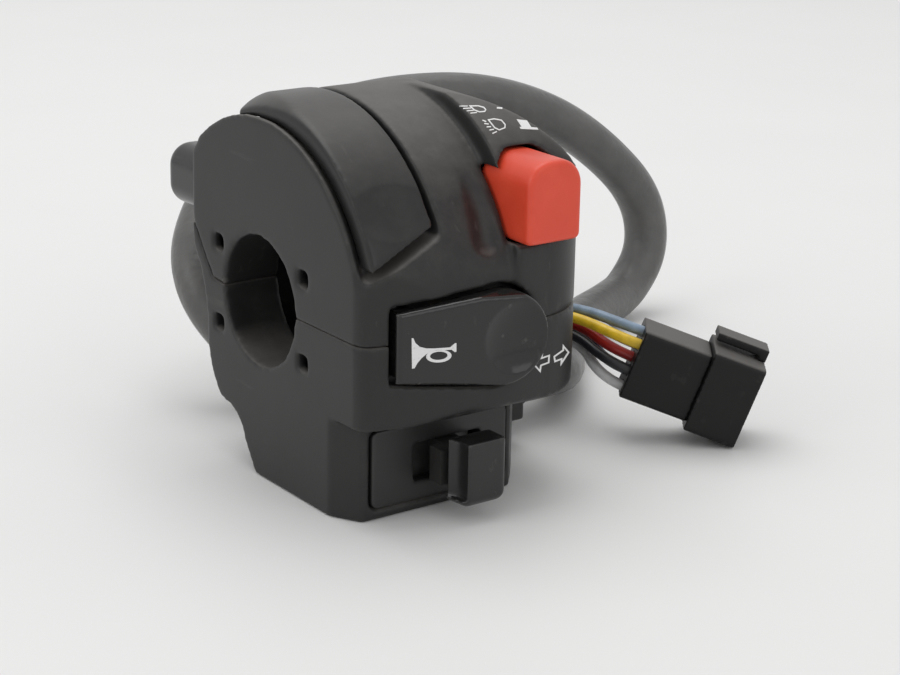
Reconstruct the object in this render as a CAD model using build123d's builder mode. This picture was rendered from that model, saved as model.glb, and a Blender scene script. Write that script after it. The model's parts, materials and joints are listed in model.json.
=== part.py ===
"""Left-hand handlebar switch cluster of a motorcycle, with its loom and plug.

The origin lies on the handlebar axis, in the plane of the outboard end face.
+X runs along the bar, inboard. -Y faces the rider, +Y faces forward and +Z is up.
All lengths are millimetres and all angles are degrees.
"""
import math
import os

from build123d import *

os.makedirs("parts", exist_ok=True)

# Sizes of the whole case
bar_r = 11.1            # 22.2 mm handlebar, clamped by the two halves
case_len = 46.0
wall = 2.2
table_z = -31.0         # flat underside of the lower case
face_y = -34.0          # front of the bulge that carries the buttons
rear_y = 23.3
foot_y = -27.0          # front of the narrow lower section
ledge_z = -14.0         # underside of the bulge
barrel_r = 34.1         # round top of the case, about the bar axis
crown_z = 34.6
pod_x = 28.0            # the raised pod that holds the beam button starts here
pod_r = 26.0
pod_y = -7.5
pod_z = 9.2
overrun = 5.0           # how far cutting tools run past the solid
running_gap = 0.05      # radial clearance of a journal
slide_gap = 0.2         # clearance beside a sliding block
body_gap = 0.4          # clearance between a moving cap and its opening

# Choke lever
groove_r = 30.2
lever_gap = 0.4         # under the panel
lever_t = 3.6
lever_in_r = groove_r + lever_gap
lever_r = lever_in_r + lever_t
rim_w = 1.2
rim_r = 31.2            # rounded rim of the outboard end, seen beside the lever
lever_x = 1.5
lever_w = 13.1
groove_w = 14.2
lever_low = 21.0        # angles are counted from the rider's side, upwards
lever_slope = 0.4       # the lower end of the panel rises inboard
lever_foot_gap = 1.8
lever_high = 106.0
lever_travel = 32.0
groove_low = 14.0
groove_high = 142.0
web_angle = 62.0
web_t = 5.0
web_x = 3.6
web_w = 4.8
hub_r = 14.9
collar_r = 13.0
collar_x = 11.0
hub_w = 6.0
washer_t = 0.6
lever_edge_r = 31.3     # the panel's outboard shoulder falls to the rim, most at the rear
lever_edge_rise = 2.6
lever_edge_w = 7.5
lever_edge_shift = 3.4
lever_edge_angle = 25.0
scoop_angle = 36.0
scoop_r = 45.0
scoop_depth = 0.65

# Flute between the barrel and the pod
flute_x = 23.8
flute_ring_r = 36.5
flute_shift = 3.0       # its ring is shifted up and back, so that it fades out over the crown
flute_shift_angle = 115.0
flute_r = 3.5
flute_low = 20.0
flute_high = 84.0

# Horn button, a flat paddle with a round inboard end
horn_x = 5.2
horn_end_x = 32.3
horn_nose_r = 7.9
horn_nose_z = -1.0
horn_top_z = 5.6
horn_low_z = -6.0
horn_proud = 3.0
horn_back_y = -32.4
horn_gap = 0.6
horn_pin_x = 8.0
horn_pin_y = -27.2
horn_pin_r = 1.0
horn_hub_r = 2.0
base_y = -27.2
base_t = 2.0
horn_edge = 0.8
horn_root_y = -33.5     # its front at the outboard end, from where it leans out
horn_lean = 0.14
horn_ridge_z = 5.7      # the bevel along its top starts here
horn_bevel = 0.45
dimple_r = 16.0
dimple_depth = 1.1
ear_t = 1.8
spring_r = 2.8
spring_wire = 0.35
spring_turns = 3
detent_wire = 0.21
contact_t = 0.5
contact_w = 4.0

# Beam button, a push-push block with a rounded top
beam_x = 28.2
beam_w = 10.8
beam_low_z = 13.5
beam_h = 13.5
beam_front_y = -36.0
beam_round = 2.2
beam_edge = 0.9
beam_shoulder_y = -23.0
beam_stem_end_y = -14.5
beam_body_y = -18.5
beam_body_depth = 13.5
beam_shell = 1.4

# Turn signal switch
plate_x = 4.7
plate_w = 26.8
plate_low_z = -29.0
plate_h = 13.3
plate_t = 2.4
plate_round = 1.3
turn_x = 19.5
turn_z = -22.5
turn_travel = 4.2
knob_w = 8.8
knob_h = 11.0
knob_front_y = -37.6
knob_back_y = -32.7     # clear of the corner under the bulge, also when it is pressed
shank_back_y = -28.4    # the carriage's shank fills the room behind it
knob_travel = 1.0
knob_step_y = -33.2     # the finger face slopes from here to the ridge
knob_slope_x = 0.6
knob_ridge_r = 1.0
knob_low_round = 1.8
hollow_r = 7.6
hollow_depth = 0.9
lip_h = 1.2             # left whole under the hollow
neck_w = 4.2
neck_h = 6.0
neck_end_y = -33.6
push_room = 2.5
carriage_w = 12.0
carriage_h = 9.0
carriage_back_y = -14.1
chamber_wall = 1.3
turn_body_y = -11.9
ball_r = 1.2

# Passing button, pressed by the forefinger
pass_x = 2.9
pass_w = 9.0
pass_low_z = 8.6
pass_h = 11.0
pass_root_y = 23.0
pass_nose_y = 36.5
pass_stem_w = 4.0
pass_stem_end_y = 18.8
pass_dome = 2.3
pass_floor = 1.0
pass_body_y = 14.8
pass_body_end_y = 20.2
pass_round = 3.9

# Small features of the case
slot_y = 13.4
slot_z = 7.04
slot_w = 2.9
slot_h = 2.7
tab_y = -10.4
tab_z = -24.5
tab_w = 3.4
tab_h = 3.9
tab_out = 1.3

# Loom, wires and plug
loom_r = 4.5
boot_y = -2.4
boot_z = -22.6
boot_flange_r = 5.05
boot_len = 6.0
boot_neck_r = 4.7
boot_lip = 1.4
boot_skin = 0.6
arc_share = 0.45
wire_r = 0.95
plug_w = 12.0
plug_h = 15.5
plug_step = 1.2
plug_wire_len = 12.6
plug_mate_len = 9.6
plug_wall = 1.5
plug_round = 0.8
terminal_len = 3.6
latch_gap = 0.8
latch_t = 1.5
wire_seat_depth = 1.5
wire_lead = 6.5
wire_end_lead = 4.0
wire_ring_share = 0.75
plug_corner = (76.4, -35.0, -30.9)   # lowest corner, resting on the table
plug_yaw = -38.7                     # heading of the plug, from +X
plug_pitch = 19.5                    # how far its mouth points down

# Fasteners
screw_r = 2.0
screw_head_r = 3.3
screw_head_h = 2.4
boss_r = 3.2
screw_seat_z = -12.0
screw_tip_z = 10.0
boss_top_z = 12.6


def on_arc(radius, angle):
    """Point in the YZ plane at an angle counted from the rider's side, upwards."""
    turn = math.radians(angle)
    return (-radius * math.cos(turn), radius * math.sin(turn))


def wedge(radius, low, high):
    """Corners of a sector about the bar axis that reaches past a radius, from one angle to another."""
    middle = (low + high) / 2
    reach = (radius + overrun) / math.cos(math.radians((high - low) / 4)) ** 2
    return [(0, 0)] + [on_arc(reach, angle) for angle in (low, (low + middle) / 2, middle, (middle + high) / 2, high)]


# Shares of the rear depth and of the crown's height, from the crown down to the foot
rear_top_share = [(0.0, 0.985), (0.52, 0.896), (0.87, 0.671)]
rear_mid_share = [(0.985, 0.547), (1.0, 0.402), (0.965, 0.206), (0.837, 0.043)]
rear_low_share = [(0.765, -0.13), (0.742, -0.32), (0.695, -0.5), (0.553, -0.665)]
rear_foot_share = [(0.45, -0.672), (0.285, -0.742), (0.215, -0.84), (0.069, -1.0)]


def rear_points(shares):
    """Points of the rear outline; heights above the bar follow the crown, the rest the foot."""
    return [(a * rear_y, b * (crown_z if b > 0 else -table_z)) for a, b in shares]


def side_outline(pod):
    """Wire of the case seen from its end, for the barrel or for the pod."""
    ledge_round = wall
    top = rear_points(rear_top_share)
    mid = rear_points(rear_mid_share)
    low = rear_points(rear_low_share)
    foot = rear_points(rear_foot_share)
    if pod:
        shoulder = (face_y, pod_z)
        bulge = (pod_y - pod_r * math.sqrt(0.5), pod_z + pod_r * math.sqrt(0.5))
        crown = (pod_y, pod_z + pod_r)
    else:
        shoulder = (face_y, math.sqrt(barrel_r ** 2 - face_y ** 2))
        bulge = on_arc(barrel_r, 50)
        crown = (0, barrel_r)
    Line(foot[3], (foot_y, table_z))
    Line((foot_y, table_z), (foot_y, ledge_z))
    Line((foot_y, ledge_z), (face_y + ledge_round, ledge_z))
    RadiusArc((face_y + ledge_round, ledge_z), (face_y, ledge_z + ledge_round), ledge_round)
    Line((face_y, ledge_z + ledge_round), shoulder)
    ThreePointArc(shoulder, bulge, crown)
    if pod:
        Line(crown, (0, barrel_r))
    ThreePointArc((0, barrel_r), top[1], top[2])
    ThreePointArc(top[2], mid[0], mid[1])
    ThreePointArc(mid[1], mid[2], mid[3])
    ThreePointArc(mid[3], low[0], low[1])
    ThreePointArc(low[1], low[2], low[3])
    Line(low[3], foot[0])
    ThreePointArc(foot[0], foot[1], foot[2])
    Line(foot[2], foot[3])


# Shares of the case length and of the front depth, along the front seen from above
front_share = [(0.0, 0.845), (0.022, 0.9), (0.065, 0.921), (0.43, 1.0), (0.76, 0.965), (0.9, 0.901), (1.0, 0.76)]
rear_plan_share = [(1.0, 0.74), (0.95, 0.93), (0.85, 1.01), (0.05, 1.01), (0.0, 0.93)]
foot_share = [(0.0, 0.8), (0.065, 1.0), (0.705, 1.0), (0.81, 0.79), (0.925, 0.51), (1.0, 0.28)]
top_share = [(0.55, 1.0), (0.78, 0.93), (0.937, 0.717), (0.987, 0.28), (1.0, -0.06)]


def plan_outline():
    """Wire of the case seen from above."""
    front = [(a * case_len, b * face_y) for a, b in front_share]
    back = [(a * case_len, b * rear_y) for a, b in rear_plan_share]
    ThreePointArc(front[0], front[1], front[2])
    ThreePointArc(front[2], front[3], front[4])
    ThreePointArc(front[4], front[5], front[6])
    Line(front[6], back[0])
    ThreePointArc(back[0], back[1], back[2])
    Line(back[2], back[3])
    Line(back[3], back[4])
    Line(back[4], front[0])


def foot_outline():
    """Wire of the lower section seen from above."""
    foot = [(a * case_len, b * foot_y) for a, b in foot_share]
    Line(foot[0], foot[1])
    Line(foot[1], foot[2])
    ThreePointArc(foot[2], foot[3], foot[4])
    Line(foot[4], foot[5])
    Line(foot[5], (case_len, rear_y))
    Line((case_len, rear_y), (0, rear_y))
    Line((0, rear_y), foot[0])


def top_outline():
    """Wire of the case seen from the rider, with its crown falling inboard."""
    top = [(a * case_len, b * crown_z) for a, b in top_share]
    Line((0, table_z), (case_len, table_z))
    Line((case_len, table_z), top[4])
    ThreePointArc(top[4], top[3], top[2])
    ThreePointArc(top[2], top[1], top[0])
    Line(top[0], (0, crown_z))
    Line((0, crown_z), (0, table_z))


def below_slant(lift):
    """A block under the slanted lower end of the choke lever, moved down by lift."""
    left_z = on_arc(lever_r, lever_low)[1] - lift - lever_slope * lever_x
    right_z = left_z + lever_slope * case_len
    with BuildPart() as block:
        with BuildSketch(Plane.XZ.offset(-bar_r)):
            with BuildLine():
                Polyline((0, left_z), (case_len, right_z), (case_len, table_z), (0, table_z), close=True)
            make_face()
        extrude(amount=crown_z * 2)
    return block


def lever_groove(inset):
    """The space round the barrel that the choke lever's panel turns in, grown by inset."""
    tall = 2 * crown_z
    with BuildPart() as groove:
        with BuildSketch(Plane.YZ.offset(rim_w - inset)):
            Circle(tall)
            Circle(groove_r - inset, mode=Mode.SUBTRACT)
            with BuildLine():
                Polyline(wedge(tall, groove_low, groove_high), close=True)
            make_face(mode=Mode.INTERSECT)
        extrude(amount=groove_w + 2 * inset)
        add(below_slant(lever_foot_gap + inset).part, mode=Mode.SUBTRACT)
    return groove


def case_solid(inset):
    """The closed case, drawn in by inset on every side."""
    tall = 2 * crown_z
    groove = lever_groove(inset)
    with BuildPart() as lower_limit:
        with BuildSketch(Plane.XY.offset(table_z)):
            with BuildLine():
                foot_outline()
            make_face()
            offset(amount=-inset)
        extrude(amount=ledge_z - table_z + inset)
        with BuildSketch(Plane.XY.offset(ledge_z + inset)):
            with BuildLine():
                plan_outline()
            make_face()
            offset(amount=-inset)
        extrude(amount=tall)
    with BuildPart() as form:
        for pod, start in ((False, 0), (True, pod_x)):
            with BuildSketch(Plane.YZ.offset(start + inset)):
                with BuildLine():
                    side_outline(pod)
                make_face()
                offset(amount=-inset)
            extrude(amount=case_len - start - 2 * inset)
        add(lower_limit.part, mode=Mode.INTERSECT)
        with BuildSketch(Plane.XZ):
            with BuildLine():
                top_outline()
            make_face()
            offset(amount=-inset)
        extrude(amount=tall, both=True, mode=Mode.INTERSECT)
        # the lever's groove, with the rounded rim at its outboard side
        add(groove.part, mode=Mode.SUBTRACT)
        with BuildSketch(Plane.YZ):
            Circle(tall)
            Circle(rim_r - inset, mode=Mode.SUBTRACT)
            with BuildLine():
                Polyline(wedge(tall, groove_low, groove_high), close=True)
            make_face(mode=Mode.INTERSECT)
        extrude(amount=rim_w, mode=Mode.SUBTRACT)
        # the flute, a round groove about the bar axis with ball ends
        ring_y, ring_z = on_arc(flute_shift, flute_shift_angle)
        start = Plane(origin=(flute_x, ring_y, ring_z), x_dir=(0, *on_arc(1, flute_low)),
                      z_dir=(0, *on_arc(1, flute_low - 90)))
        with BuildSketch(start):
            with Locations((flute_ring_r, 0)):
                Circle(flute_r + inset)
        revolve(axis=Axis((0, ring_y, ring_z), (1, 0, 0)), revolution_arc=flute_low - flute_high, mode=Mode.SUBTRACT)
        ends = [on_arc(flute_ring_r, angle) for angle in (flute_low, flute_high)]
        with Locations(*[(flute_x, ring_y + y, ring_z + z) for y, z in ends]):
            Sphere(flute_r + inset, mode=Mode.SUBTRACT)
    return form


# The front screw's place: shares of the case length and of the front depth
front_screw_share = (0.775, 0.46)
# The parting line climbs behind the bar: shares of the rear depth
split_share = [(-2.0, 0.0), (0.5, 0.0), (0.65, 0.015), (0.72, 0.095), (0.83, 0.245), (0.905, 0.35), (1.3, 0.85)]


def upper_half():
    """A block over everything above the parting line."""
    line = [(a * rear_y, b * rear_y) for a, b in split_share]
    with BuildPart() as block:
        with BuildSketch(Plane.YZ.offset(-overrun)):
            with BuildLine():
                Polyline(*line, (line[-1][0], 2 * crown_z), (line[0][0], 2 * crown_z), close=True)
            make_face()
        extrude(amount=case_len + 2 * overrun)
    return block


def horn_face(depth_y, gap):
    """Outline of the horn paddle on the plane y = depth_y, grown by gap."""
    nose_x = horn_end_x - horn_nose_r
    with BuildSketch(Plane.XZ.offset(-depth_y)) as face:
        with BuildLine():
            Line((horn_x, horn_low_z), (horn_x, horn_top_z))
            Line((horn_x, horn_top_z), (nose_x, horn_nose_z + horn_nose_r))
            ThreePointArc((nose_x, horn_nose_z + horn_nose_r), (horn_end_x, horn_nose_z),
                          (nose_x, horn_nose_z - horn_nose_r))
            Line((nose_x, horn_nose_z - horn_nose_r), (horn_x, horn_low_z))
        make_face()
        if gap:
            offset(amount=gap)
    return face.sketch


def beam_outline(gap):
    """Face of the beam button seen from the rider, grown by gap, with its top corners rounded."""
    with Locations((beam_x + beam_w / 2, beam_low_z + beam_h / 2)):
        Rectangle(beam_w + 2 * gap, beam_h + 2 * gap)
    fillet(vertices().group_by(Axis.Y)[-1], beam_round * 2)
    fillet(vertices().group_by(Axis.Y)[0], beam_round / 2)


def box_between(low, high, mode=Mode.ADD):
    """A block given by two opposite corners."""
    centre = [(a + b) / 2 for a, b in zip(low, high)]
    size = [b - a for a, b in zip(low, high)]
    with Locations(tuple(centre)):
        Box(*size, mode=mode)


def pass_outline(gap):
    """Face of the passing button seen from the front of the motorcycle, grown by gap."""
    with Locations((pass_x + pass_w / 2, pass_low_z + pass_h / 2)):
        RectangleRounded(pass_w + 2 * gap, pass_h + 2 * gap, pass_round)


def plate_outline(gap):
    """Outline of the turn switch's face plate, grown by gap."""
    with Locations((plate_x + plate_w / 2, plate_low_z + plate_h / 2)):
        RectangleRounded(plate_w + 2 * gap, plate_h + 2 * gap, plate_round)


# Places that several pieces share
web_half_turn = math.degrees((web_t / 2 + slide_gap) / (groove_r - 2 * wall))
hub_x = wall + slide_gap
washer_x = hub_x + hub_w + slide_gap
rear_screw = (case_len / 2, bar_r + screw_head_r)
front_screw = (front_screw_share[0] * case_len, front_screw_share[1] * face_y)
inboard_collar_x = case_len - collar_x
turn_body_low = (plate_x - 2 * slide_gap, foot_y + wall, table_z + wall + slide_gap)
turn_body_high = (plate_x + plate_w + slide_gap, turn_body_y, -hub_r - slide_gap)
chamber_low = (turn_x - carriage_w / 2 - turn_travel - slide_gap, foot_y + wall, turn_z - carriage_h / 2 - slide_gap)
chamber_high = (turn_x + carriage_w / 2 + turn_travel + slide_gap, turn_body_y - chamber_wall,
                turn_z + carriage_h / 2 + slide_gap)


# The case, one closed shell cut into two halves at the parting line
case_outer = case_solid(0)
case_inner = case_solid(wall)
top_block = upper_half()
with BuildPart() as shell:
    add(case_outer.part)
    add(case_inner.part, mode=Mode.SUBTRACT)
    for start in (wall, inboard_collar_x):
        with BuildSketch(Plane.YZ.offset(start)):
            Circle(collar_r)
        extrude(amount=collar_x - wall)
    with BuildSketch(Plane.YZ.offset(washer_x + washer_t)):
        Circle(hub_r)
    extrude(amount=collar_x - washer_x - washer_t)
    # screw bosses in front of the bar and behind it
    for place in (front_screw, rear_screw):
        with BuildSketch(Plane.XY.offset(table_z + wall)):
            with Locations(place):
                Circle(boss_r)
        extrude(amount=boss_top_z - table_z - wall)
    # a rib ties the rear boss to the rear wall
    box_between((rear_screw[0] - wall / 2, rear_screw[1], table_z / 2), (rear_screw[0] + wall / 2, rear_y, boss_top_z))
    add(case_outer.part, mode=Mode.INTERSECT)
    # the bar passes right through
    with BuildSketch(Plane.YZ.offset(-overrun)):
        Circle(bar_r)
    extrude(amount=case_len + 2 * overrun, mode=Mode.SUBTRACT)
    # openings for the buttons
    extrude(horn_face(base_y, horn_gap), amount=-face_y, mode=Mode.SUBTRACT)
    with BuildSketch(Plane.XZ.offset(bar_r)):
        beam_outline(body_gap)
    extrude(amount=-face_y, mode=Mode.SUBTRACT)
    with BuildSketch(Plane.XZ.offset(-pass_body_end_y - slide_gap)):
        pass_outline(body_gap)
    extrude(amount=-rear_y, mode=Mode.SUBTRACT)
    # the opening of the turn switch
    with BuildSketch(Plane.XZ.offset(-foot_y - wall)):
        plate_outline(slide_gap)
    extrude(amount=overrun, mode=Mode.SUBTRACT)
    # four small slots beside the bore, in the outboard face
    with BuildSketch(Plane.YZ.offset(-overrun)):
        with GridLocations(2 * slot_y, 2 * slot_z, 2, 2):
            Rectangle(slot_w, slot_h)
    extrude(amount=overrun + wall + slide_gap, mode=Mode.SUBTRACT)
    # hole of the loom's boot
    with BuildSketch(Plane.YZ.offset(case_len - collar_x)):
        with Locations((boot_y, boot_z)):
            Circle(boot_neck_r)
    extrude(amount=collar_x + overrun, mode=Mode.SUBTRACT)
    # holes of the case screws, with a deep seat for each head
    for place in (front_screw, rear_screw):
        with BuildSketch(Plane.XY.offset(table_z - overrun)):
            with Locations(place):
                Circle(screw_head_r + slide_gap)
        extrude(amount=screw_seat_z - table_z + overrun, mode=Mode.SUBTRACT)
        with BuildSketch(Plane.XY.offset(table_z - overrun)):
            with Locations(place):
                Circle(screw_r + running_gap)
        extrude(amount=screw_tip_z - table_z + overrun + slide_gap, mode=Mode.SUBTRACT)

with BuildPart() as upper_case:
    add(shell.part)
    add(top_block.part, mode=Mode.INTERSECT)
    # slot for the web of the choke lever
    with BuildSketch(Plane.YZ.offset(web_x - slide_gap)):
        Circle(lever_in_r)
        Circle(hub_r + slide_gap, mode=Mode.SUBTRACT)
        with BuildLine():
            Polyline(wedge(lever_in_r, web_angle - web_half_turn, web_angle + lever_travel + web_half_turn),
                     close=True)
        make_face(mode=Mode.INTERSECT)
    extrude(amount=web_w + 2 * slide_gap, mode=Mode.SUBTRACT)

with BuildPart() as lower_case:
    add(shell.part)
    add(top_block.part, mode=Mode.SUBTRACT)
    # small locating tab under the inboard end of the bulge
    box_between((case_len - tab_w, tab_y - tab_w / 2, tab_z - tab_h / 2),
                (case_len + tab_out, tab_y + tab_w / 2, tab_z + tab_h / 2))


def case_screw_at(place):
    """Pan-head screw driven upwards at a place in plan."""
    with BuildPart() as screw:
        with BuildSketch(Plane.XY.offset(screw_seat_z - screw_head_h)):
            with Locations(place):
                Circle(screw_head_r)
        extrude(amount=screw_head_h)
        fillet(screw.edges().group_by(Axis.Z)[0], screw_head_h / 3)
        with BuildSketch(Plane.XY.offset(screw_seat_z)):
            with Locations(place):
                Circle(screw_r)
        extrude(amount=screw_tip_z - screw_seat_z)
        # cross recess
        for long_side, short_side in ((screw_r * 2, screw_r / 2), (screw_r / 2, screw_r * 2)):
            with BuildSketch(Plane.XY.offset(screw_seat_z - screw_head_h)):
                with Locations(place):
                    Rectangle(long_side, short_side)
            extrude(amount=screw_head_h / 2, mode=Mode.SUBTRACT)
    return screw


with BuildPart() as case_screws:
    for place in (front_screw, rear_screw):
        add(case_screw_at(place).part)


def coil_spring(origin, direction, radius, wire, turns, length):
    """Compression spring from origin along a direction, one unbroken wire of half-turn biarcs."""
    frame = Plane(origin=origin, z_dir=direction)
    pitch = length / turns
    slope = pitch / (2 * math.pi * radius)

    def place(half):
        turn = half * math.pi
        point = frame.from_local_coords((radius * math.cos(turn), radius * math.sin(turn), half * pitch / 2))
        heading = frame.from_local_coords((-math.sin(turn), math.cos(turn), slope)) - frame.origin
        return point, heading.normalized()

    track = []
    with BuildLine() as path:
        for half in range(int(2 * turns)):
            (start, out), (end, into) = place(half), place(half + 1)
            across = end - start
            a = 2 * (1 - out.dot(into))
            b = 2 * across.dot(out + into)
            reach = (math.sqrt(b * b + 4 * a * across.dot(across)) - b) / (2 * a)
            first, second = start + out * reach, end - into * reach
            middle = (first + second) * 0.5
            TangentArc(start, middle, tangent=out)
            TangentArc(middle, end, tangent=second - first)
            track += [start, middle]
    gaps = [(p - q).length - 2 * wire for i, p in enumerate(track) for q in track[i + 4:]]
    print("spring", radius, wire, turns, "least gap", round(min(gaps), 2))
    line = path.wires()[0]
    with BuildPart() as spring:
        with BuildSketch(Plane(origin=line @ 0, z_dir=line % 0)):
            Circle(wire)
        sweep(path=line)
    return spring


# Choke lever: the panel over the barrel, its web and the hub that turns round the collar
with BuildPart() as choke_lever:
    with BuildSketch(Plane.YZ.offset(lever_x)):
        Circle(lever_r)
        Circle(lever_in_r, mode=Mode.SUBTRACT)
        with BuildLine():
            Polyline(wedge(lever_r, groove_low, lever_high), close=True)
        make_face(mode=Mode.INTERSECT)
    extrude(amount=lever_w)
    add(below_slant(0).part, mode=Mode.SUBTRACT)
    # the outboard shoulder falls in an arc to meet the rim, most at the rear
    edge_origin = (lever_x, *on_arc(lever_edge_shift, lever_edge_angle))
    edge_top_r = lever_edge_r + lever_edge_rise
    with BuildSketch(Plane(origin=edge_origin, x_dir=(1, 0, 0), z_dir=(0, -1, 0))):
        with BuildLine():
            Line((0, 0), (0, lever_edge_r))
            TangentArc((lever_edge_w, edge_top_r), (0, lever_edge_r), tangent=(-1, 0))
            Line((lever_edge_w, edge_top_r), (lever_w, edge_top_r))
            Line((lever_w, edge_top_r), (lever_w, 0))
            Line((lever_w, 0), (0, 0))
        make_face()
    revolve(axis=Axis(edge_origin, (1, 0, 0)), mode=Mode.INTERSECT)
    # thumb scoop
    with Locations((lever_x + lever_w / 2, *on_arc(lever_r + scoop_r - scoop_depth, scoop_angle))):
        Sphere(scoop_r, mode=Mode.SUBTRACT)
    # web
    with BuildSketch(Plane.YZ.offset(web_x)):
        with Locations(on_arc((hub_r + lever_in_r) / 2, web_angle)):
            Rectangle(lever_in_r - hub_r + wall, web_t, rotation=180 - web_angle)
    extrude(amount=web_w)
    with BuildSketch(Plane.YZ.offset(hub_x)):
        Circle(hub_r)
    extrude(amount=hub_w)
    with BuildSketch(Plane.YZ.offset(hub_x)):
        Circle(collar_r + running_gap)
    extrude(amount=hub_w, mode=Mode.SUBTRACT)

with BuildPart() as choke_washer:
    with BuildSketch(Plane.YZ.offset(washer_x)):
        Circle(hub_r)
        Circle(collar_r + slide_gap, mode=Mode.SUBTRACT)
    extrude(amount=washer_t)

# Horn button: a paddle hinged at its outboard end
with BuildPart() as horn_button:
    extrude(horn_face(horn_back_y, 0), amount=horn_back_y - face_y + horn_proud + horn_edge)
    # it leans out from its outboard end, and a bevel runs along its top
    split(bisect_by=Plane(origin=(horn_x, horn_root_y, 0), z_dir=(-horn_lean, -1, 0)), keep=Keep.BOTTOM)
    split(bisect_by=Plane(origin=(horn_x, face_y - horn_proud, horn_ridge_z), z_dir=(0, -horn_bevel, 1)),
          keep=Keep.BOTTOM)
    front = horn_button.faces().filter_by(lambda face: face.normal_at().Y < 0).sort_by(SortBy.AREA)[-1]
    fillet(front.edges(), horn_edge)
    # finger dimple
    nose_x = horn_end_x - horn_nose_r
    nose_y = horn_root_y - horn_lean * (nose_x - horn_x)
    with Locations((nose_x, nose_y - dimple_r + dimple_depth, horn_nose_z)):
        Sphere(dimple_r, mode=Mode.SUBTRACT)
    # hub on the pivot pin
    with BuildSketch(Plane.XY.offset(horn_low_z + 2 * slide_gap)):
        with Locations((horn_pin_x, horn_pin_y)):
            Circle(horn_hub_r)
        with Locations((horn_pin_x, (horn_pin_y + horn_back_y) / 2)):
            Rectangle(2 * horn_hub_r, horn_pin_y - horn_back_y)
    extrude(amount=horn_top_z - horn_low_z - 4 * slide_gap)
    with BuildSketch(Plane.XY.offset(horn_low_z)):
        with Locations((horn_pin_x, horn_pin_y)):
            Circle(horn_pin_r + running_gap)
    extrude(amount=horn_top_z - horn_low_z, mode=Mode.SUBTRACT)

with BuildPart() as horn_pivot_pin:
    with BuildSketch(Plane.XY.offset(horn_low_z - ear_t)):
        with Locations((horn_pin_x, horn_pin_y)):
            Circle(horn_pin_r)
    extrude(amount=horn_top_z - horn_low_z + 2 * ear_t)

with BuildPart() as horn_base:
    base_x = horn_pin_x + horn_hub_r + body_gap
    floor_z = ledge_z + wall
    box_between((base_x, base_y, floor_z), (horn_end_x, base_y + base_t, horn_nose_z + horn_nose_r + wall))
    for low in (horn_low_z - ear_t, horn_top_z):
        box_between((horn_pin_x - horn_hub_r, horn_pin_y - horn_hub_r + slide_gap, low),
                    (base_x, base_y + base_t, low + ear_t))
    with BuildSketch(Plane.XY.offset(floor_z)):
        with Locations((horn_pin_x, horn_pin_y)):
            Circle(horn_pin_r + running_gap)
    extrude(amount=horn_top_z + 2 * ear_t - floor_z, mode=Mode.SUBTRACT)

horn_spring = coil_spring((horn_end_x - horn_nose_r, base_y - slide_gap - spring_wire, horn_nose_z), (0, -1, 0),
                          spring_r, spring_wire, spring_turns,
                          base_y - horn_back_y - 2 * slide_gap - 2 * spring_wire)

with BuildPart() as horn_contacts:
    for side in (-1, 1):
        box_between((turn_x - contact_w, base_y - contact_t, horn_nose_z + side * contact_w - contact_t * 2),
                    (turn_x, base_y, horn_nose_z + side * contact_w + contact_t * 2))

# Beam button and its push-push switch
with BuildPart() as beam_button:
    with BuildSketch(Plane.XZ.offset(-beam_shoulder_y)):
        beam_outline(0)
    extrude(amount=beam_shoulder_y - beam_front_y)
    front = beam_button.faces().sort_by(Axis.Y)[0]
    fillet(front.edges(), beam_edge)
    stem_low = (beam_x + beam_shell, beam_stem_end_y, beam_low_z + beam_shell)
    stem_high = (beam_x + beam_w - beam_shell, beam_shoulder_y, beam_low_z + beam_h - 2 * beam_round)
    box_between((stem_low[0], beam_shoulder_y, stem_low[2]), (stem_high[0], beam_stem_end_y, stem_high[2]))

with BuildPart() as beam_switch_body:
    box_between((stem_low[0] - slide_gap - beam_shell, beam_body_y, stem_low[2] - slide_gap - beam_shell / 2),
                (stem_high[0] + slide_gap + beam_shell, beam_body_y + beam_body_depth,
                 stem_high[2] + slide_gap + beam_shell))
    box_between((stem_low[0] - slide_gap, beam_body_y, stem_low[2] - slide_gap),
                (stem_high[0] + slide_gap, beam_body_y + beam_body_depth - beam_shell, stem_high[2] + slide_gap),
                mode=Mode.SUBTRACT)

beam_mid_z = (stem_low[2] + stem_high[2]) / 2
beam_floor_y = beam_body_y + beam_body_depth - beam_shell
beam_spring = coil_spring((beam_x + beam_w / 2, beam_stem_end_y + slide_gap + spring_wire, beam_mid_z), (0, 1, 0),
                          spring_r, spring_wire, spring_turns + 1,
                          beam_floor_y - beam_stem_end_y - 2 * slide_gap - 2 * spring_wire)

# Turn signal switch: face plate, knob, carriage and body
with BuildPart() as turn_face_plate:
    with BuildSketch(Plane.XZ.offset(-foot_y - wall)):
        plate_outline(0)
    extrude(amount=plate_t)
    with BuildSketch(Plane.XZ.offset(-foot_y - wall)):
        with Locations((turn_x, turn_z)):
            RectangleRounded(neck_w + 2 * turn_travel + 4 * slide_gap, neck_h + 3 * slide_gap, plate_round / 2)
    extrude(amount=plate_t, mode=Mode.SUBTRACT)

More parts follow.
